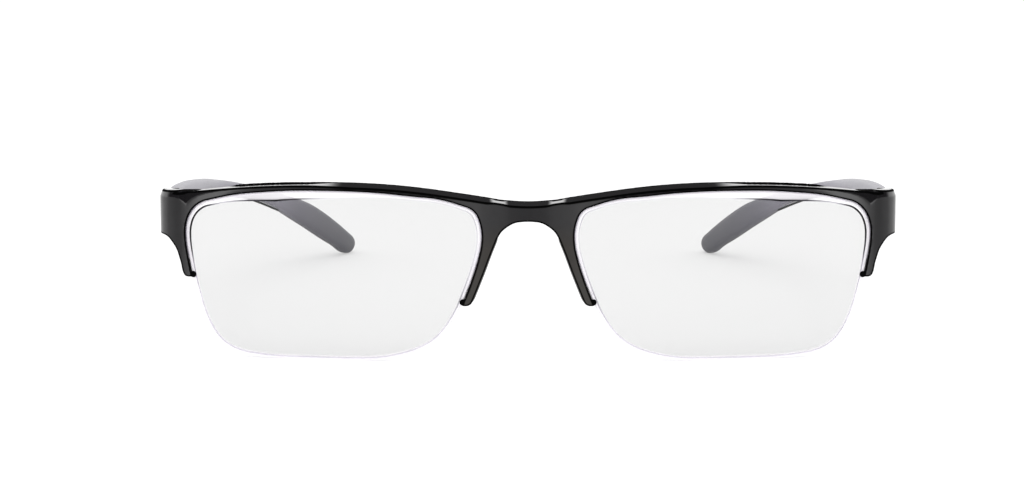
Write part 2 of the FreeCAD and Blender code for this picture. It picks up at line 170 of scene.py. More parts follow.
# The front's surface is found in steps; its slope is measured over a share of a cell
SURFACE_STEPS = 3
NUDGE_SHARE = 0.1
LEAST_STEEP = 0.25                   # squared slope that a step is never divided by less than

# How finely the meshes are built, and the turn in degrees above which an edge stays hard
OUTLINE_STEP = 0.2
LENS_STEP = 0.35
LENS_RINGS = 14
LENS_SHARP = 35
CORD_STEP = 0.4
CORD_SIDES = 14
CORD_SHARP = 60
ARM_RINGS = 420
ARM_CROWDING = 1.25                  # above 1, rings stand closer towards the tip
ARM_SIDES = 44
ARM_SHARP = 50

# Camera: the view's elevation, distance to the point it looks at, and framing
VIEW_ELEVATION = 9.0
VIEW_DISTANCE = 540.0
VIEW_TARGET = Vector((0, 0, 16.0))
VIEW_LENS = 102.7
VIEW_SHIFT = (-0.0157, 0.0272)
SENSOR_WIDTH = 36

# Colours, as linear red, green and blue; a pair is the two ends of a mottle
BLACK_COOL = [(0.0065, 0.006, 0.0068), (0.0095, 0.0088, 0.0100)]
BLACK_WARM = [(0.0125, 0.0098, 0.0070), (0.0165, 0.0130, 0.0094)]
# Painted shade: the darker black laid along the front's edges and rear lip as dark outlines
BLACK_EDGE_SHADE = (0.0015, 0.0015, 0.0015)
NYLON_COLOURS = [(0.52, 0.49, 0.58), (0.66, 0.63, 0.72)]
ARM_COLOURS = [(0.19, 0.182, 0.215), (0.225, 0.216, 0.255)]
# Painted reflection: the colours of the lens margin's inner line, from pale to near black
PAINTED_LINE_COLOURS = [(0.0, (0.5, 0.48, 0.58)), (0.6, (0.06, 0.055, 0.065)), (1.0, (0.006, 0.006, 0.008))]
HINGE_COLOUR = (0.58, 0.57, 0.55)
SCREW_COLOUR = (0.66, 0.64, 0.60)
CORE_COLOUR = (0.55, 0.56, 0.58)
WHITE = (1, 1, 1)
FLOOR_COLOUR = (0.55, 0.55, 0.55)
FLOOR_GLOW = 0.48

# The black turns warm low on the legs: squares of the distance from the middle, and heights, in metres
WARM_ACROSS = (0.00018, 0.0005)
WARM_HEIGHTS = (0.0215, 0.026)
EDGE_SHADE_FADE = (0.08, 0.38)             # edge mask over which the lacquer thins and painted shade darkens the black
EDGE_LACQUER = 0.02                  # share of the lacquer left at an edge

# Lenses: tint of what is behind, colour of the surface, its share, and its glow, which is painted light
CLEAR_RESIN = ((0.88, 0.88, 0.88), (0.8, 0.8, 0.8), 0.03, 0.0)
GROUND_RESIN = ((1.0, 0.997, 1.0), (0.98, 0.96, 0.98), 0.42, 0.2)
SHARE_SPREAD = 0.012
LINE_PALE_COVER = 0.25               # how much the margin's painted inner line covers where it is palest
LINE_FULL_FROM = 0.6                 # the darkness from which it covers fully

# The soft grip's painted light and shade, light at its seam and darkening to its tip, along frame Y in
# metres
GRIP_SHADE_FADE = (0.030, 0.067)
GRIP_SHADE_COLOURS = [(0.0, (0.21, 0.20, 0.24)), (0.2, (0.20, 0.19, 0.235)), (0.4, (0.115, 0.11, 0.14)),
                (0.7, (0.075, 0.072, 0.092)), (1.0, (0.052, 0.051, 0.066))]
GRIP_EDGE_SHADE = (0.045, 0.036, 0.042)    # painted shade on its upper and lower faces
GRIP_SHADE_STEEP = (0.75, 0.95)            # squared upward part of the normal over which the painted shade begins
GRIP_EDGE_SHADE_START = 0.3                # share of the fade over which that painted shade comes in

# Studio seen in reflections, as (direction's part along an axis, level)
BACKDROP = 1.0
STUDIO = 1.0
FRONT_HEIGHT = [(-1, 0.03), (-0.62, 0.04), (-0.38, 0.9), (0.12, 0.9), (0.4, 0.08), (1, 0.03)]
FRONT_SIDE = [(0, 0.7), (0.025, 0.8), (0.045, 1.25), (0.075, 1.45), (0.085, 1.85), (0.115, 1.75),
              (0.155, 0.7), (0.2, 0.5), (0.35, 0.55), (0.455, 0.9), (0.483, 1.7), (0.505, 4.4),
              (0.535, 4.0), (0.565, 1.15), (0.8, 1.0), (1, 1.2)]
BACK_MIDDLE = [(-1, 0.03), (-0.1, 0.04), (0.02, 1.7), (0.28, 2.2), (0.46, 0.1), (1, 0.03)]
BACK_SIDES = [(-1, 0.03), (-0.35, 0.05), (-0.1, 1.5), (0.28, 2.2), (0.46, 0.1), (1, 0.03)]

# Where the studio changes from middle to sides, and from front to back
ASIDE = [(0, 0), (0.095, 0), (0.115, 1), (1, 1)]
BEHIND = [(-1, 0), (-0.05, 0), (0.25, 1), (1, 1)]

# Soft lights: name, place and aim in metres, size, watts
LIGHTS = [
    ("overhead_softbox", (0, -0.1, 0.9), (0, 0, 0), (0.9, 0.9), 2.5),
    ("front_fill", (0, -1.2, 0.5), (0, 0, 0.02), (1.2, 0.6), 2.5),
]

# Edges of the metal and nylon pieces, broken this much in millimetres
CHAMFERS = {"leaf": 0.12, "screws": 0.05, "pivot": 0.06, "liner": 0.05, "core": 0.08}
WELD_DISTANCE = 0.000002
BEVEL_ANGLE = 40


# ---------------------------------------------------------------- outlines

def unit(degrees):
    return np.array([math.cos(math.radians(degrees)), math.sin(math.radians(degrees))])


def arc_points(start, tangent, end, step):
    """Points along the arc that leaves start along tangent, without start itself."""
    chord = end - start
    turn = math.atan2(tangent[0] * chord[1] - tangent[1] * chord[0], float(tangent @ chord))
    length = float(np.hypot(*chord))
    curved = abs(turn) > 1e-4
    count = max(1, math.ceil(length * (turn / math.sin(turn) if curved else 1) / step))
    heading = math.degrees(math.atan2(tangent[1], tangent[0]))
    points = []
    for k in range(1, count + 1):
        share = k / count
        reach = length * (math.sin(turn * share) / math.sin(turn) if curved else share)
        points.append(start + unit(heading + math.degrees(turn * share)) * reach)
    return points


def outline_points(nodes, step=0.25):
    """Points along the tangent arcs that join the nodes (u, v, heading), two arcs to a pair."""
    points = [np.array(nodes[0][:2], float)]
    for node, following in zip(nodes, nodes[1:]):
        start = np.array(node[:2], float)
        end = np.array(following[:2], float)
        leave, arrive = unit(node[2]), unit(following[2])
        chord = end - start
        if np.hypot(*chord) < 1e-6:
            continue
        along = chord @ (leave + arrive)
        bend = 1 - leave @ arrive
        if bend < 1e-9:
            reach = chord @ chord / (4 * chord @ leave)
        else:
            reach = (math.sqrt(along ** 2 + 2 * bend * chord @ chord) - along) / (2 * bend)
        first = start + leave * reach
        second = end - arrive * reach
        joint = (first + second) / 2
        middle = (second - first) / np.hypot(*(second - first))
        points += arc_points(start, leave, joint, step)
        points += arc_points(joint, middle, end, step)
    return np.array(points)


def signed_distance(u, v, polygon):
    """Distance from each point to a closed polygon, negative inside it."""
    nearest = np.full(u.shape, np.inf)
    inside = np.zeros(u.shape, bool)
    for (u0, v0), (u1, v1) in zip(polygon, np.roll(polygon, -1, axis=0)):
        du, dv = u1 - u0, v1 - v0
        size = du * du + dv * dv
        if size < 1e-12:
            continue
        share = np.clip(((u - u0) * du + (v - v0) * dv) / size, 0, 1)
        nearest = np.minimum(nearest, (u - u0 - share * du) ** 2 + (v - v0 - share * dv) ** 2)
        crosses = (v0 > v) != (v1 > v)
        inside ^= crosses & (u < u0 + (v - v0) * du / (dv if dv else 1))
    return np.where(inside, -1, 1) * np.sqrt(nearest)


class DistanceMap:
    """A polygon's signed distance, kept on a grid over the front view and read between points."""

    def __init__(self, polygon, low, high, step):
        self.low = np.array(low, float)
        self.step = step
        count = np.ceil((np.array(high) - self.low) / step).astype(int) + 2
        u = self.low[0] + step * np.arange(count[0])
        v = self.low[1] + step * np.arange(count[1])
        self.values = signed_distance(*np.meshgrid(u, v, indexing="ij"), polygon)

    def __call__(self, u, v):
        place = [(u - self.low[0]) / self.step, (v - self.low[1]) / self.step]
        cell = [np.clip(np.floor(p).astype(int), 0, n - 2)
                for p, n in zip(place, self.values.shape)]
        s, t = (p - c for p, c in zip(place, cell))
        i, j = cell
        near = self.values[i, j] * (1 - t) + self.values[i, j + 1] * t
        far = self.values[i + 1, j] * (1 - t) + self.values[i + 1, j + 1] * t
        return near * (1 - s) + far * s


# ---------------------------------------------------------------- meshes

def to_frame(points):
    return np.asarray(points, float) * MM + np.array(ORIGIN)


def add_piece(name, points, faces, materials, indices=None, flat=False):
    """A mesh object from points in drawing millimetres."""
    mesh = bpy.data.meshes.new(name)
    mesh.from_pydata(to_frame(points).tolist(), [], [list(map(int, f)) for f in faces])
    for material in materials:
        mesh.materials.append(material)
    if indices is not None:
        mesh.polygons.foreach_set("material_index", indices)
    shaper = bmesh.new()
    shaper.from_mesh(mesh)
    bmesh.ops.recalc_face_normals(shaper, faces=shaper.faces)
    shaper.to_mesh(mesh)
    shaper.free()
    mesh.polygons.foreach_set("use_smooth", [not flat] * len(mesh.polygons))
    piece = bpy.data.objects.new(name, mesh)
    bpy.context.scene.collection.objects.link(piece)
    return piece


def sweep_faces(rings, size, closed=True):
    """Quads between rings of points that follow each other in one list."""
    faces = []
    for r in range(rings - 1):
        for k in range(size if closed else size - 1):
            following = (k + 1) % size
            faces.append((r * size + k, r * size + following,
                          (r + 1) * size + following, (r + 1) * size + k))
    return faces


def rounded(distances, radius):
    """The solid inside every distance, with its outer edges rounded."""
    beyond = [np.maximum(d + radius, 0) for d in distances]
    deepest = distances[0]
    for d in distances[1:]:
        deepest = np.maximum(deepest, d)
    return np.sqrt(sum(b * b for b in beyond)) + np.minimum(deepest + radius, 0) - radius


def blended(a, b, reach):
    """The union of two solids, with a fillet where they meet."""
    share = np.clip(0.5 + 0.5 * (b - a) / reach, 0, 1)
    return b * (1 - share) + a * share - reach * share * (1 - share)


def surface_of(field, low, high, cell):
    """Points, quads and normals of the surface where field is zero, a point to each cell it crosses."""
    axes = [np.arange(a, b + cell, cell) for a, b in zip(low, high)]
    values = field(*np.meshgrid(*axes, indexing="ij", sparse=True))
    inside = values < 0
    count = [n - 1 for n in inside.shape]
    corners = [(i, j, k) for i in (0, 1) for j in (0, 1) for k in (0, 1)]

    def corner(array, c):
        return array[c[0]:c[0] + count[0], c[1]:c[1] + count[1], c[2]:c[2] + count[2]]

    held = sum(corner(inside, c).astype(np.int8) for c in corners)
    crossed = (held > 0) & (held < 8)
    cells = np.argwhere(crossed)
    index = np.full(crossed.shape, -1)
    index[crossed] = np.arange(len(cells))
    total = np.zeros((len(cells), 3))
    crossings = np.zeros(len(cells))
    for a in corners:
        for axis in range(3):
            if a[axis]:
                continue
            b = tuple(1 if i == axis else a[i] for i in range(3))
            va = corner(values, a)[crossed]
            vb = corner(values, b)[crossed]
            change = (va < 0) != (vb < 0)
            share = np.where(change, va / np.where(change, va - vb, 1), 0)
            place = np.tile(np.array(a, float), (len(cells), 1))
            place[:, axis] = share
            total += place * change[:, None]
            crossings += change
    points = np.array(low) + (cells + total / crossings[:, None]) * cell
    faces = []
    for axis in range(3):
        u, v = (axis + 1) % 3, (axis + 2) % 3
        here = [slice(None)] * 3
        ahead = [slice(None)] * 3
        here[axis] = slice(0, -1)
        ahead[axis] = slice(1, None)
        change = inside[tuple(here)] != inside[tuple(ahead)]
        leaving = inside[tuple(here)]
        edges = np.argwhere(change)
        edges = edges[(edges[:, u] > 0) & (edges[:, v] > 0)
                      & (edges[:, u] < count[u]) & (edges[:, v] < count[v])]
        outward = leaving[tuple(edges.T)]
        ring = []
        for du, dv in ((-1, -1), (0, -1), (0, 0), (-1, 0)):
            place = edges.copy()
            place[:, u] += du
            place[:, v] += dv
            ring.append(index[tuple(place.T)])
        quads = np.stack(ring, axis=1)
        quads[~outward] = quads[~outward][:, ::-1]
        faces.append(quads)
    faces = np.concatenate(faces)
    nudges = np.eye(3) * cell * NUDGE_SHARE
    for _ in range(SURFACE_STEPS):
        value = field(*points.T)
        changes = [field(*(points + n).T) - field(*(points - n).T) for n in nudges]
        slope = np.stack(changes, axis=1) / (2 * nudges[0, 0])
        steep = np.maximum((slope ** 2).sum(1), LEAST_STEEP)
        step = np.clip(value / steep, -cell / 2, cell / 2)
        points = points - slope * step[:, None]
    normals = slope / np.maximum(np.sqrt((slope ** 2).sum(1)), 1e-6)[:, None]
    return points, faces, normals


# ---------------------------------------------------------------- the front

def corner_centre():
    across = HALF_WIDTH - END_CORNER
    return across, WRAP_RADIUS - math.sqrt((WRAP_RADIUS - END_CORNER) ** 2 - across ** 2)


def depth_behind(x, y):
    """Distance behind the front's outer face, which turns back at the end piece."""
    across, back = corner_centre()
    on_front = WRAP_RADIUS - np.hypot(x, WRAP_RADIUS - y)
    on_corner = END_CORNER - np.hypot(x - across, np.minimum(y - back, 0))
    past = (x - across) * (WRAP_RADIUS - back) - across * (back - y) > 0
    on_side = HALF_WIDTH - x
    turned = np.where(y < back, on_corner, on_side)
    return np.where(past | ((y >= back) & (x > across)), turned, on_front)


def along(table, x):
    return np.interp(x, [p[0] for p in table], [p[1] for p in table])


def front_field():
    """Signed distance of the half rim, as a function of drawing coordinates."""
    rim = outline_points(RIM_EDGE)
    mirrored = np.stack([-rim[:, 0], rim[:, 1]], axis=1)[::-1]
    rim_map = DistanceMap(np.concatenate([rim, mirrored]), *OUTLINE_BOX, CELL)
    lens_map = DistanceMap(outline_points(LENS_EDGE)[:-1], *OUTLINE_BOX, CELL)
    brow = outline_points(RIM_EDGE[:7])

    def sides_of(x, y, z):
        """Distance from each face of the rim, from its outline and its top alone, and the depth."""
        x = np.abs(x)
        rim_side = rim_map(x, z)
        lens_side = LENS_GAP - lens_map(x, z)
        depth = depth_behind(x, y)
        brow_top = np.interp(x, brow[:, 0], brow[:, 1])
        above = z - (brow_top - along(BEVEL_LINE, x))
        recess = BEVEL_SLOPE * (above + np.hypot(above, BEVEL_CREASE)) / 2
        ledge = along(LEDGE_LINE, x)
        behind = RIM_DEPTH - depth
        fall = TOP_SLOPE * (1 - ledge) * behind
        fall = fall + LIP_HEIGHT * ledge * np.clip(behind / LIP_WIDTH, 0, 1)
        top = (z - brow_top + np.clip(fall, 0, TOP_FALL)) * TOP_SCALE
        wall = np.interp(x, WALL_BLEND, (RIM_DEPTH, END_WALL))
        past_top = y - END_TOP_START[0]
        end_slope = np.where(past_top > 0, END_TOP_SLOPE, END_TOP_LEAD)
        end_top = z - END_TOP_START[1] + end_slope * past_top
        on_brow = np.where(past_top < 0, top, NO_TOP)
        outer = np.maximum(np.maximum(rim_side, on_brow), end_top)
        faces = [outer, lens_side, y - BUTT_Y, recess - depth, depth - wall]
        return faces, rim_side, on_brow, depth

    def field(x, y, z):
        faces, rim_side, _, depth = sides_of(x, y, z)
        x = np.abs(x)
        lens_side = faces[1]
        body = rounded(faces, EDGE_ROUNDING)
        lobe = np.hypot(y - NOSE_REST_CENTRE[0], z - NOSE_REST_CENTRE[1]) - NOSE_REST_RADIUS
        limits = [NOSE_REST_FRONT - y, z - NOSE_REST_TOP, x - NOSE_REST_WIDTH]
        rest = rounded([rim_side, lens_side, lobe] + limits, REST_ROUNDING)
        body = blended(body, rest, REST_BLEND)
        for u, v in CLAW_CENTRES:
            disc = np.hypot(x - u, z - v) - CLAW_RADIUS
            tab = rounded([disc, -depth, depth - CLAW_DEPTH], CLAW_ROUNDING)
            body = np.minimum(body, tab)
        middle = LENS_SETBACK + LENS_THICKNESS / 2
        seat = np.maximum(-lens_side - GROOVE_DEPTH, np.abs(depth - middle) - GROOVE_WIDTH / 2)
        return np.maximum(body, -seat)

    def edge(x, y, z):
        """1 on the rim's edges and on its rear lip, 0 on its faces: where the black gets painted shade as
        dark outlines.
        """
        faces, _, on_brow, depth = sides_of(x, y, z)
        on_lip = (on_brow > -EDGE_BAND) & (RIM_DEPTH - depth < LIP_WIDTH)
        second = np.sort(np.stack(np.broadcast_arrays(*faces)), axis=0)[-2]
        shaded_edge = np.maximum(on_lip, np.clip((second + EDGE_BAND) / EDGE_BAND, 0, 1))
        on_rest = faces[4] > REST_ROUNDING / 2
        return np.where(on_rest, 0, shaded_edge)

    return field, edge


def make_front(material):
    field, edge = front_field()
    points, faces, normals = surface_of(field, *FRONT_BOX, CELL)
    front = add_piece("half_rim_front", points, faces, [material])
    shade = front.data.attributes.new("edge", "FLOAT", "POINT")
    shade.data.foreach_set("value", edge(*points.T))
    front.data.normals_split_custom_set_from_vertices(normals.tolist())
    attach(front, "front")
    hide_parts("front_frame")


# ---------------------------------------------------------------- lenses and cords

def wrapped(u, v, depth):
    """A point of the front view at a depth behind the rim's curved face."""
    return np.stack([u, WRAP_RADIUS - np.sqrt((WRAP_RADIUS - depth) ** 2 - u ** 2), v], axis=-1)


def outward_normals(points):
    """Unit normals of a closed outline that runs anticlockwise."""
    ahead = np.roll(points, -1, axis=0) - np.roll(points, 1, axis=0)
    ahead /= np.hypot(*ahead.T)[:, None]
    return np.stack([ahead[:, 1], -ahead[:, 0]], axis=1)


def margin_at(points):
    """The ground margin's width and its painted line's darkness at each point of the lens's outline."""
    run = np.concatenate([[0], np.cumsum(np.hypot(*np.diff(points, axis=0).T))])
    nodes = np.array([n[:2] for n in LENS_EDGE])
    places = [run[np.argmin(np.hypot(*(points - n).T))] for n in nodes]
    places[-1] = run[-1]
    return [np.interp(run, places, values) for values in zip(*MARGIN)]


def make_lens(side, sign, clear, margin, painted_dark_line):
    """A lens with a ground margin, polished corners and a groove for the nylon."""
    edge = outline_points(LENS_EDGE, LENS_STEP)[:-1]
    outward = outward_normals(edge)
    width, painted_darkness = margin_at(edge)
    front, back = LENS_SETBACK, LENS_SETBACK + LENS_THICKNESS
    middle = (front + back) / 2
    seat = GROOVE_WIDTH / 2
    line_inner = width + LINE_WIDTH * np.interp(painted_darkness, (0, 1), LINE_SHARES)
    profile = [(line_inner, front), (width, front), (LENS_CORNER, front), (0, front + LENS_CORNER),
               (0, middle - seat), (GROOVE_DEPTH, middle - seat),
               (GROOVE_DEPTH, middle + seat), (0, middle + seat),
               (0, back - LENS_CORNER), (LENS_CORNER, back), (width, back), (line_inner, back)]
    clear_edge = edge - outward * line_inner[:, None]
    centre = clear_edge.mean(0)
    shares = [k / LENS_RINGS for k in range(1, LENS_RINGS + 1)]
    rings = [wrapped(*(centre + (clear_edge - centre) * s).T, front) for s in shares[:-1]]
    for inset, depth in profile:
        inset = np.broadcast_to(inset, width.shape)[:, None]
        rings.append(wrapped(*(edge - outward * inset).T, depth))
    rings += [wrapped(*(centre + (clear_edge - centre) * s).T, back) for s in reversed(shares[:-1])]
    size = len(edge)
    faces = sweep_faces(len(rings), size)
    kinds = []
    for r in range(len(rings) - 1):
        place = r - (LENS_RINGS - 1)
        kind = 1 if 1 <= place < len(profile) - 2 else 2 if place == 0 else 0
        kinds += [kind] * size
    points = np.concatenate(rings)
    last = len(points)
    points = np.concatenate([points, wrapped(centre[:1], centre[1:], front),
                             wrapped(centre[:1], centre[1:], back)])
    tail = last - size
    for k in range(size):
        following = (k + 1) % size
        faces.append((following, k, last))
        faces.append((tail + k, tail + following, last + 1))
        kinds += [0, 0]
    points[:, 0] *= sign
    piece = add_piece(f"clear_lens_{side}", points, faces, [clear, margin, painted_dark_line], kinds)
    shade = piece.data.attributes.new("painted_darkness", "FLOAT", "POINT")
    shade.data.foreach_set("value", np.concatenate([np.tile(painted_darkness, len(rings)), [0, 0]]))
    mark_sharp(piece, LENS_SHARP)
    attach(piece, "front")
    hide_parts(f"lens_{side}")


def mark_sharp(piece, degrees):
    """Edges that turn more than this keep a hard line in the shading."""
    mesh = piece.data
    shaper = bmesh.new()
    shaper.from_mesh(mesh)
    for e in shaper.edges:
        if len(e.link_faces) == 2:
            e.smooth = e.calc_face_angle(0) < math.radians(degrees)
    shaper.to_mesh(mesh)
    shaper.free()


def make_cord(side, sign, material):
    """The nylon line round the lens's open edge, down into the rim at both ends."""
    edge = outline_points(LENS_EDGE, CORD_STEP)[:-1]
    outward = outward_normals(edge)
    prong = int(np.argmin(np.abs(edge[:, 1] - CORD_TOPS[0]) + 100 * (edge[:, 0] < 40)))
    leg = int(np.argmin(np.abs(edge[:, 1] - CORD_TOPS[1]) + 100 * (edge[:, 0] > 40)))
    order = list(range(leg, len(edge))) + list(range(prong + 1))
    path, normal = edge[order], outward[order]
    high = (CORD_PROUD + CORD_SINK) / 2
    middle = (CORD_PROUD - CORD_SINK) / 2
    depth = LENS_SETBACK + LENS_THICKNESS / 2
    rings = []
    for place, out in zip(path, normal):
        angles = np.linspace(0, 2 * math.pi, CORD_SIDES, endpoint=False)
        reach = middle + high * np.cos(angles)
        back = depth + CORD_WIDTH / 2 * np.sin(angles)
        rings.append(wrapped(place[0] + out[0] * reach, place[1] + out[1] * reach, back))
    points = np.concatenate(rings)
    faces = sweep_faces(len(rings), CORD_SIDES)
    faces.append(tuple(range(CORD_SIDES)))
    faces.append(tuple(range(len(points) - CORD_SIDES, len(points))))
    points[:, 0] *= sign
    piece = add_piece(f"nylon_line_{side}", points, faces, [material])
    mark_sharp(piece, CORD_SHARP)
    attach(piece, "front")
    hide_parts(f"retaining_cord_{side}")


# ---------------------------------------------------------------- arms

def spaced(points, shares):
    """Points at given shares of a path's length."""
    run = np.concatenate([[0], np.cumsum(np.hypot(*np.diff(points, axis=0).T))])
    run /= run[-1]
    return np.stack([np.interp(shares, run, points[:, i]) for i in (0, 1)], axis=1)


def arm_points(sign):
    """Rings of points round the whole arm, from the hinge to the tip."""
    top = outline_points(ARM_TOP, OUTLINE_STEP)
    bottom = outline_points(ARM_BOTTOM, OUTLINE_STEP)[::-1]
    plan = outline_points(ARM_PLAN)
    shares = 1 - (1 - np.linspace(0, 1, ARM_RINGS)) ** ARM_CROWDING
    upper, lower = spaced(top, shares), spaced(bottom, shares)
    angles = np.linspace(0, 2 * math.pi, ARM_SIDES, endpoint=False)
    power = 2 / ARM_SQUARENESS
    high = np.sign(np.cos(angles)) * np.abs(np.cos(angles)) ** power
    wide = np.sign(np.sin(angles)) * np.abs(np.sin(angles)) ** power
    rings = []
    for over, under, share in zip(upper, lower, shares):
        middle, half = (over + under) / 2, (over - under) / 2
        near_tip = np.clip((share - TIP_START) / (1 - TIP_START), 0, 1)
        near_butt = np.clip(1 - share / BUTT_ROUNDING, 0, 1)
        thin = ARM_HALF_THICKNESS * math.sqrt(max(1 - near_tip ** TIP_FULLNESS, 0.0))
        shrink = 1 - BUTT_SHRINK * near_butt ** 2
        seam = 1 - SEAM_DEPTH * np.exp(-((middle[0] - GRIP_START_Y) / SEAM_WIDTH) ** 2)
        y = middle[0] + half[0] * high * shrink
        z = middle[1] + half[1] * high * shrink * seam
        before, x, after = (np.interp(y + reach, plan[:, 1], plan[:, 0]) for reach in (-0.5, 0, 0.5))
        across = np.stack([np.ones_like(x), before - after], axis=1)
        across /= np.hypot(*across.T)[:, None]
        offset = thin * wide * shrink * seam
        x = (x + across[:, 0] * offset) * sign
        rings.append(np.stack([x, y + across[:, 1] * offset, z], axis=1))
    return rings


def make_arm(side, sign, arm_material, grip_material):
    """The arm and its soft ear end, cut apart at the seam."""
    rings = arm_points(sign)
    points = np.concatenate(rings)
    faces = sweep_faces(len(rings), ARM_SIDES)
    faces.append(tuple(range(ARM_SIDES)))
    faces.append(tuple(range(len(points) - ARM_SIDES, len(points))))
    for name, material, keep in (("side_arm", arm_material, -1), ("ear_grip", grip_material, 1)):
        piece = add_piece(f"{name}_{side}", points, faces, [material])
        seam = to_frame([0, GRIP_START_Y + keep * SEAM_GAP / 2, 0])
        shaper = bmesh.new()
        shaper.from_mesh(piece.data)
        everything = list(shaper.verts) + list(shaper.edges) + list(shaper.faces)
        cut = bmesh.ops.bisect_plane(shaper, geom=everything, plane_co=seam, plane_no=(0, keep, 0),
                                     clear_inner=True)
        rim = [e for e in cut["geom_cut"] if isinstance(e, bmesh.types.BMEdge)]
        bmesh.ops.contextual_create(shaper, geom=rim)
        bmesh.ops.recalc_face_normals(shaper, faces=shaper.faces)
        for f in shaper.faces:
            f.smooth = True
        shaper.to_mesh(piece.data)
        shaper.free()
        mark_sharp(piece, ARM_SHARP)
        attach(piece, f"temple_{side}")
    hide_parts(f"temple_arm_{side}")
    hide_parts(f"temple_tip_grip_{side}")


# ---------------------------------------------------------------- materials

class Surface:
    """A material under construction: its nodes, and short ways to add to them."""

    def __init__(self, name):
        self.material = bpy.data.materials.new(name)
        self.material.use_nodes = True
        self.nodes = self.material.node_tree.nodes
        self.links = self.material.node_tree.links
        self.shader = self.nodes["Principled BSDF"]
        self.output = self.nodes["Material Output"]
        self.place = self.nodes.new("ShaderNodeTexCoord").outputs["Object"]

    def set(self, **values):
        for name, value in values.items():
            self.shader.inputs[name.replace("_", " ")].default_value = value

    def stretched(self, scale):
        """Object coordinates, stretched along each axis."""
        mapping = self.nodes.new("ShaderNodeMapping")
        mapping.inputs["Scale"].default_value = scale
        self.links.new(self.place, mapping.inputs["Vector"])
        return mapping.outputs["Vector"]

    def noise(self, scale, detail=3.0, stretch=None, distortion=0.0):
        node = self.nodes.new("ShaderNodeTexNoise")
        node.inputs["Scale"].default_value = scale
        node.inputs["Detail"].default_value = detail
        node.inputs["Distortion"].default_value = distortion
        self.links.new(self.stretched(stretch) if stretch else self.place, node.inputs["Vector"])
        return node.outputs["Fac"]

    def speckle(self, scale):
        node = self.nodes.new("ShaderNodeTexVoronoi")
        node.inputs["Scale"].default_value = scale
        self.links.new(self.place, node.inputs["Vector"])
        return node.outputs["Distance"]

    def between(self, value, low, high, start=0.0, end=1.0):
        """value from start to end, turned into low to high."""
        node = self.nodes.new("ShaderNodeMapRange")
        limits = {"From Min": start, "From Max": end, "To Min": low, "To Max": high}
        for name, number in limits.items():
            node.inputs[name].default_value = number
        self.links.new(value, node.inputs["Value"])
        return node.outputs["Result"]

    def colours(self, value, stops):
        """A colour for each place, from stops of (position, colour)."""
        node = self.nodes.new("ShaderNodeValToRGB")
        ramp = node.color_ramp
        ramp.elements[0].position, ramp.elements[0].color = stops[0][0], (*stops[0][1], 1)
        ramp.elements[1].position, ramp.elements[1].color = stops[-1][0], (*stops[-1][1], 1)
        for position, colour in stops[1:-1]:
            ramp.elements.new(position).color = (*colour, 1)
        self.links.new(value, node.inputs["Fac"])
        return node.outputs["Color"]

    def mottled(self, value, pair, low=0.3, high=0.7):
        """The first colour of a pair where value is low, the second where it is high."""
        return self.colours(value, [(low, pair[0]), (high, pair[1])])

    def joined(self, a, b, operation="ADD"):
        node = self.nodes.new("ShaderNodeMath")
        node.operation = operation
        self.links.new(a, node.inputs[0])
        self.links.new(b, node.inputs[1])
        return node.outputs["Value"]

    def part(self, vector, axis):
        node = self.nodes.new("ShaderNodeSeparateXYZ")
        self.links.new(vector, node.inputs["Vector"])
        return node.outputs[axis]

    def mixed(self, share, first, second):
        """first where share is 0, second where it is 1."""
        node = self.nodes.new("ShaderNodeMix")
        node.data_type = "RGBA"
        for name, value in (("Factor", share), ("A", first), ("B", second)):
            socket = next(i for i in node.inputs if i.name == name and i.enabled)
            if isinstance(value, tuple):
                socket.default_value = (*value, 1)
            else:
                self.links.new(value, socket)
        return next(o for o in node.outputs if o.enabled)

    def bump(self, height, strength, distance):
        node = self.nodes.new("ShaderNodeBump")
        node.inputs["Strength"].default_value = strength
        node.inputs["Distance"].default_value = distance
        self.links.new(height, node.inputs["Height"])
        self.links.new(node.outputs["Normal"], self.shader.inputs["Normal"])

    def attribute(self, name):
        node = self.nodes.new("ShaderNodeAttribute")
        node.attribute_name = name
        return node.outputs["Fac"]

    def link(self, value, name):
        self.links.new(value, self.shader.inputs[name])

    def see_through(self, tint, share):
        """Shows what is behind, tinted, with share of this surface laid over it."""
        through = self.nodes.new("ShaderNodeBsdfTransparent")
        through.inputs["Color"].default_value = (*tint, 1)
        mix = self.nodes.new("ShaderNodeMixShader")
        self.links.new(share, mix.inputs["Fac"])
        self.links.new(through.outputs["BSDF"], mix.inputs[1])
        self.links.new(self.shader.outputs["BSDF"], mix.inputs[2])
        self.links.new(mix.outputs["Shader"], self.output.inputs["Surface"])


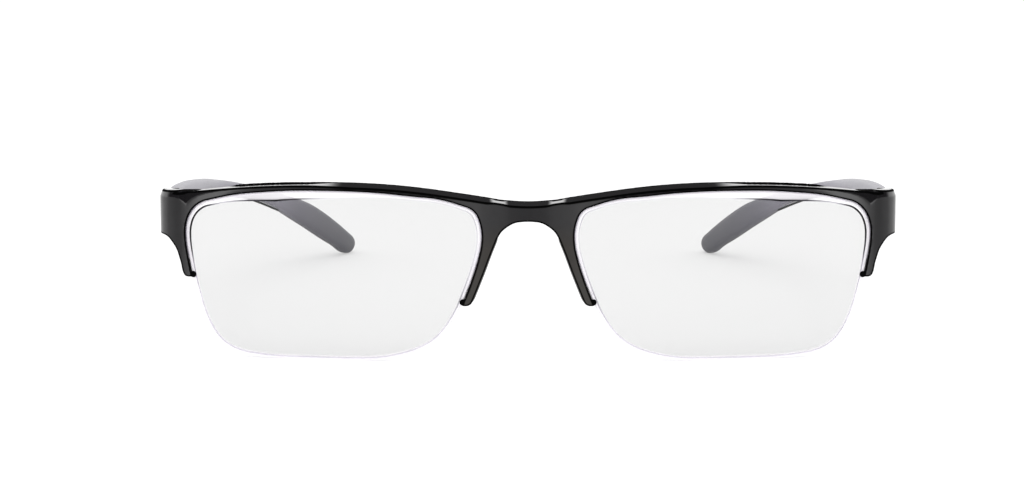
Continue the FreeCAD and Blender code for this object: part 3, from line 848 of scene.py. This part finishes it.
def black_plastic():
    """Lacquered moulded black, with faint flow marks, warmer legs, and thin lacquer on its edges, which
    also get painted shade as dark outlines.
    """
    s = Surface("frame_black")
    s.set(Specular_IOR_Level=0.0, IOR=1.5, Coat_IOR=1.5, Coat_Roughness=0.05)
    flow = s.noise(55, 4, stretch=(0.5, 1, 2.2), distortion=0.4)
    outwards = s.joined(s.part(s.place, "X"), s.part(s.place, "X"), "MULTIPLY")
    outwards = s.between(outwards, 0.0, 1.0, *WARM_ACROSS)
    upwards = s.between(s.part(s.place, "Z"), 0.0, 1.0, *WARM_HEIGHTS)
    body = s.mixed(s.joined(outwards, upwards, "MAXIMUM"), s.mottled(flow, BLACK_WARM),
                   s.mottled(flow, BLACK_COOL))
    edge = s.attribute("edge")
    # Painted shade: towards the edges and the rear lip the black turns darker and loses its lacquer,
    # drawing dark outlines
    edge_lacquer_and_shade = s.between(edge, 1.0, EDGE_LACQUER, *EDGE_SHADE_FADE)
    worn = s.between(s.noise(700, 5), 0.93, 1.0, 0.3, 0.6)
    s.link(s.mixed(edge_lacquer_and_shade, BLACK_EDGE_SHADE, body), "Base Color")
    s.link(s.joined(edge_lacquer_and_shade, worn, "MULTIPLY"), "Coat Weight")
    s.link(s.joined(s.between(s.noise(900, 4), 0.10, 0.20), s.between(edge, 0.0, 0.15)), "Roughness")
    s.bump(s.noise(420, 2), 0.10, 0.00001)
    return s.material


def clear_resin(name, tint, cloud, share, painted_glow):
    """Thin clear lens: what is behind shows through, with a soft reflection over it."""
    s = Surface(name)
    s.set(Base_Color=(*cloud, 1), Specular_IOR_Level=0.5)
    # Painted light: the emission makes the ground margin glow, though no lamp lights it
    s.set(Emission_Color=(*WHITE, 1), Emission_Strength=painted_glow)
    s.link(s.between(s.noise(160, 3), 0.02, 0.06), "Roughness")
    s.see_through(tint, s.between(s.noise(40, 2), share - SHARE_SPREAD, share + SHARE_SPREAD))
    return s.material


def margin_line():
    """The inner line of a lens's margin, a painted reflection: clear and pale, or near black where it is
    marked dark.
    """
    s = Surface("lens_painted_line")
    s.set(Specular_IOR_Level=0.3)
    painted_darkness = s.attribute("painted_darkness")
    s.link(s.colours(painted_darkness, PAINTED_LINE_COLOURS), "Base Color")
    s.link(s.between(s.noise(500, 3), 0.3, 0.5), "Roughness")
    s.see_through(WHITE, s.between(painted_darkness, LINE_PALE_COVER, 1.0, 0.0, LINE_FULL_FROM))
    return s.material


def nylon():
    """Drawn nylon, which looks pale violet grey against white."""
    s = Surface("nylon")
    s.set(IOR=1.53, Specular_IOR_Level=0.5)
    s.link(s.mottled(s.noise(300, 2), NYLON_COLOURS, 0.35, 0.65), "Base Color")
    s.link(s.between(s.noise(1200, 2), 0.25, 0.4), "Roughness")
    s.bump(s.noise(2500, 2), 0.15, 0.00002)
    return s.material


def grey_plastic():
    """The arms: satin grey with a faint violet cast and a fine moulded grain."""
    s = Surface("arm_grey")
    s.set(IOR=1.5, Specular_IOR_Level=0.5, Coat_Weight=0.12, Coat_Roughness=0.25)
    s.link(s.mottled(s.noise(70, 4), ARM_COLOURS), "Base Color")
    s.link(s.between(s.noise(700, 4), 0.30, 0.42), "Roughness")
    s.bump(s.joined(s.speckle(5200), s.noise(3000, 2)), 0.12, 0.00002)
    return s.material


def soft_grip():
    """The ear ends: soft rubber with painted light and shade that darken it back from the seam, with a
    dense matt grain.
    """
    s = Surface("grip_soft")
    s.set(IOR=1.5, Specular_IOR_Level=0.45, Sheen_Weight=0.25, Sheen_Roughness=0.5)
    # Painted light and shade: lighter by the seam, darker towards the tip, where the light falls off
    back = s.joined(s.part(s.place, "Y"), s.between(s.noise(60, 4), -0.002, 0.002))
    shade_along_grip = s.between(back, 0.0, 1.0, *GRIP_SHADE_FADE)
    # Painted shade: faces turned up or down are darkened, as if in shade
    normal = s.nodes.new("ShaderNodeNewGeometry").outputs["Normal"]
    upward = s.joined(s.part(normal, "Z"), s.part(normal, "Z"), "MULTIPLY")
    shaded_edge = s.joined(s.between(upward, 0.0, 1.0, *GRIP_SHADE_STEEP),
                         s.between(shade_along_grip, 0.0, 1.0, 0.0, GRIP_EDGE_SHADE_START), "MULTIPLY")
    s.link(s.mixed(shaded_edge, s.colours(shade_along_grip, GRIP_SHADE_COLOURS), GRIP_EDGE_SHADE), "Base Color")
    s.link(s.between(s.noise(600, 4), 0.5, 0.66), "Roughness")
    s.bump(s.joined(s.speckle(4200), s.noise(2600, 2)), 0.22, 0.00003)
    return s.material


def metal(name, colour, rough):
    """Worked steel with fine lines round it and an uneven polish."""
    s = Surface(name)
    s.set(Metallic=1.0)
    dark = tuple(c * 0.8 for c in colour)
    s.link(s.mottled(s.noise(900, 3, stretch=(1, 1, 9)), (dark, colour)), "Base Color")
    s.link(s.between(s.noise(1500, 4, stretch=(1, 1, 12)), rough - 0.07, rough + 0.09), "Roughness")
    s.bump(s.noise(2200, 3, stretch=(1, 1, 14)), 0.2, 0.00001)
    return s.material


def dress_node(name, material, chamfer):
    """A CAD node keeps its shape, and gets its finish and lightly broken edges."""
    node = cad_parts[name]
    node.data.materials.clear()
    node.data.materials.append(material)
    weld = node.modifiers.new("weld", "WELD")
    weld.merge_threshold = WELD_DISTANCE
    bevel = node.modifiers.new("edges", "BEVEL")
    bevel.width = chamfer * MM
    bevel.segments = 2
    bevel.limit_method = "ANGLE"
    bevel.angle_limit = math.radians(BEVEL_ANGLE)
    for polygon in node.data.polygons:
        polygon.use_smooth = False


# ---------------------------------------------------------------- studio

def make_floor():
    """A plain pale floor that glows a little, so that it stays nearly white."""
    floor = bpy.data.objects.new("floor", bpy.data.meshes.new("floor"))
    shaper = bmesh.new()
    bmesh.ops.create_grid(shaper, x_segments=8, y_segments=8, size=6.0)
    shaper.to_mesh(floor.data)
    shaper.free()
    bpy.context.scene.collection.objects.link(floor)
    s = Surface("pale_floor")
    s.set(Base_Color=(*FLOOR_COLOUR, 1), Roughness=0.9, Specular_IOR_Level=0.0)
    s.set(Emission_Color=(*WHITE, 1), Emission_Strength=FLOOR_GLOW)
    floor.data.materials.append(s.material)
    floor.visible_glossy = False


def make_world():
    """Even white for the camera and for soft light, and a studio of pale and dark for reflections."""
    world = bpy.data.worlds.new("studio")
    bpy.context.scene.world = world
    world.use_nodes = True
    nodes, links = world.node_tree.nodes, world.node_tree.links
    backdrop = nodes["Background"]
    backdrop.inputs["Color"].default_value = (*WHITE, 1)
    backdrop.inputs["Strength"].default_value = BACKDROP
    studio = nodes.new("ShaderNodeBackground")
    place = nodes.new("ShaderNodeSeparateXYZ")
    links.new(nodes.new("ShaderNodeTexCoord").outputs["Generated"], place.inputs["Vector"])

    def ramp(value, low, high, stops):
        spread = nodes.new("ShaderNodeMapRange")
        spread.inputs["From Min"].default_value = low
        spread.inputs["From Max"].default_value = high
        links.new(value, spread.inputs["Value"])
        node = nodes.new("ShaderNodeValToRGB")
        node.color_ramp.interpolation = "EASE"
        steps = node.color_ramp.elements
        for k, (position, level) in enumerate(stops):
            element = steps[k] if k < 2 else steps.new(1.0)
            element.position = (position - low) / (high - low)
            element.color = (level, level, level, 1)
        links.new(spread.outputs["Result"], node.inputs["Fac"])
        return node.outputs["Color"]

    def math_node(operation, a, b):
        node = nodes.new("ShaderNodeMath")
        node.operation = operation
        for socket, value in zip(node.inputs, (a, b)):
            if isinstance(value, (int, float)):
                socket.default_value = value
            else:
                links.new(value, socket)
        return node.outputs["Value"]

    def mixed(share, first, second):
        node = nodes.new("ShaderNodeMix")
        node.data_type = "FLOAT"
        for name, value in (("Factor", share), ("A", first), ("B", second)):
            links.new(value, node.inputs[name])
        return node.outputs["Result"]

    upwards = place.outputs["Z"]
    sideways = math_node("ABSOLUTE", place.outputs["X"], 0)
    front = math_node("MULTIPLY", ramp(upwards, -1, 1, FRONT_HEIGHT), ramp(sideways, 0, 1, FRONT_SIDE))
    back = mixed(ramp(sideways, 0, 1, ASIDE), ramp(upwards, -1, 1, BACK_MIDDLE),
                 ramp(upwards, -1, 1, BACK_SIDES))
    around = mixed(ramp(place.outputs["Y"], -1, 1, BEHIND), front, back)
    links.new(math_node("MULTIPLY", around, STUDIO), studio.inputs["Strength"])
    path = nodes.new("ShaderNodeLightPath")
    choose = nodes.new("ShaderNodeMixShader")
    links.new(path.outputs["Is Glossy Ray"], choose.inputs["Fac"])
    links.new(backdrop.outputs["Background"], choose.inputs[1])
    links.new(studio.outputs["Background"], choose.inputs[2])
    links.new(choose.outputs["Shader"], nodes["World Output"].inputs["Surface"])


def make_light(name, place, aim, size, power):
    """A soft light that neither the camera nor a reflection shows."""
    light = bpy.data.lights.new(name, "AREA")
    light.shape = "RECTANGLE"
    light.size, light.size_y = size
    light.energy = power
    lamp = bpy.data.objects.new(name, light)
    lamp.location = place
    lamp.rotation_mode = "QUATERNION"
    lamp.rotation_quaternion = (Vector(aim) - Vector(place)).to_track_quat("-Z", "Y")
    lamp.visible_glossy = False
    lamp.visible_camera = False
    bpy.context.scene.collection.objects.link(lamp)


def make_camera():
    """In front of the object, looking down on it a little."""
    angle = math.radians(VIEW_ELEVATION)
    target = Vector(to_frame(VIEW_TARGET))
    back = Vector((0, -math.cos(angle), math.sin(angle)))
    camera = bpy.data.objects.new("camera", bpy.data.cameras.new("camera"))
    camera.data.lens = VIEW_LENS
    camera.data.sensor_width = SENSOR_WIDTH
    camera.data.shift_x, camera.data.shift_y = VIEW_SHIFT
    camera.data.clip_start = 0.01
    camera.location = target + back * VIEW_DISTANCE * MM
    camera.rotation_mode = "QUATERNION"
    camera.rotation_quaternion = (-back).to_track_quat("-Z", "Y")
    bpy.context.scene.collection.objects.link(camera)
    bpy.context.scene.camera = camera


make_camera()
make_floor()
make_world()
for light in LIGHTS:
    make_light(*light)

black = black_plastic()
clear = clear_resin("lens_clear", *CLEAR_RESIN)
ground = clear_resin("lens_ground", *GROUND_RESIN)
painted_dark_line = margin_line()
line = nylon()
arm_grey = grey_plastic()
grip_grey = soft_grip()
hinge_metal = metal("hinge_metal", HINGE_COLOUR, 0.3)
screw_metal = metal("screw_metal", SCREW_COLOUR, 0.24)
core_metal = metal("core_metal", CORE_COLOUR, 0.35)

make_front(black)
for side, sign in (("left", 1), ("right", -1)):
    make_lens(side, sign, clear, ground, painted_dark_line)
    make_cord(side, sign, line)
    make_arm(side, sign, arm_grey, grip_grey)
    dress_node(f"upper_liner_{side}", line, CHAMFERS["liner"])
    dress_node(f"front_hinge_leaf_{side}", hinge_metal, CHAMFERS["leaf"])
    dress_node(f"temple_hinge_leaf_{side}", hinge_metal, CHAMFERS["leaf"])
    dress_node(f"front_leaf_screws_{side}", screw_metal, CHAMFERS["screws"])
    dress_node(f"temple_leaf_screws_{side}", screw_metal, CHAMFERS["screws"])
    dress_node(f"hinge_pivot_screw_{side}", screw_metal, CHAMFERS["pivot"])
    dress_node(f"temple_core_wire_{side}", core_metal, CHAMFERS["core"])

bpy.context.scene.view_settings.view_transform = "Standard"
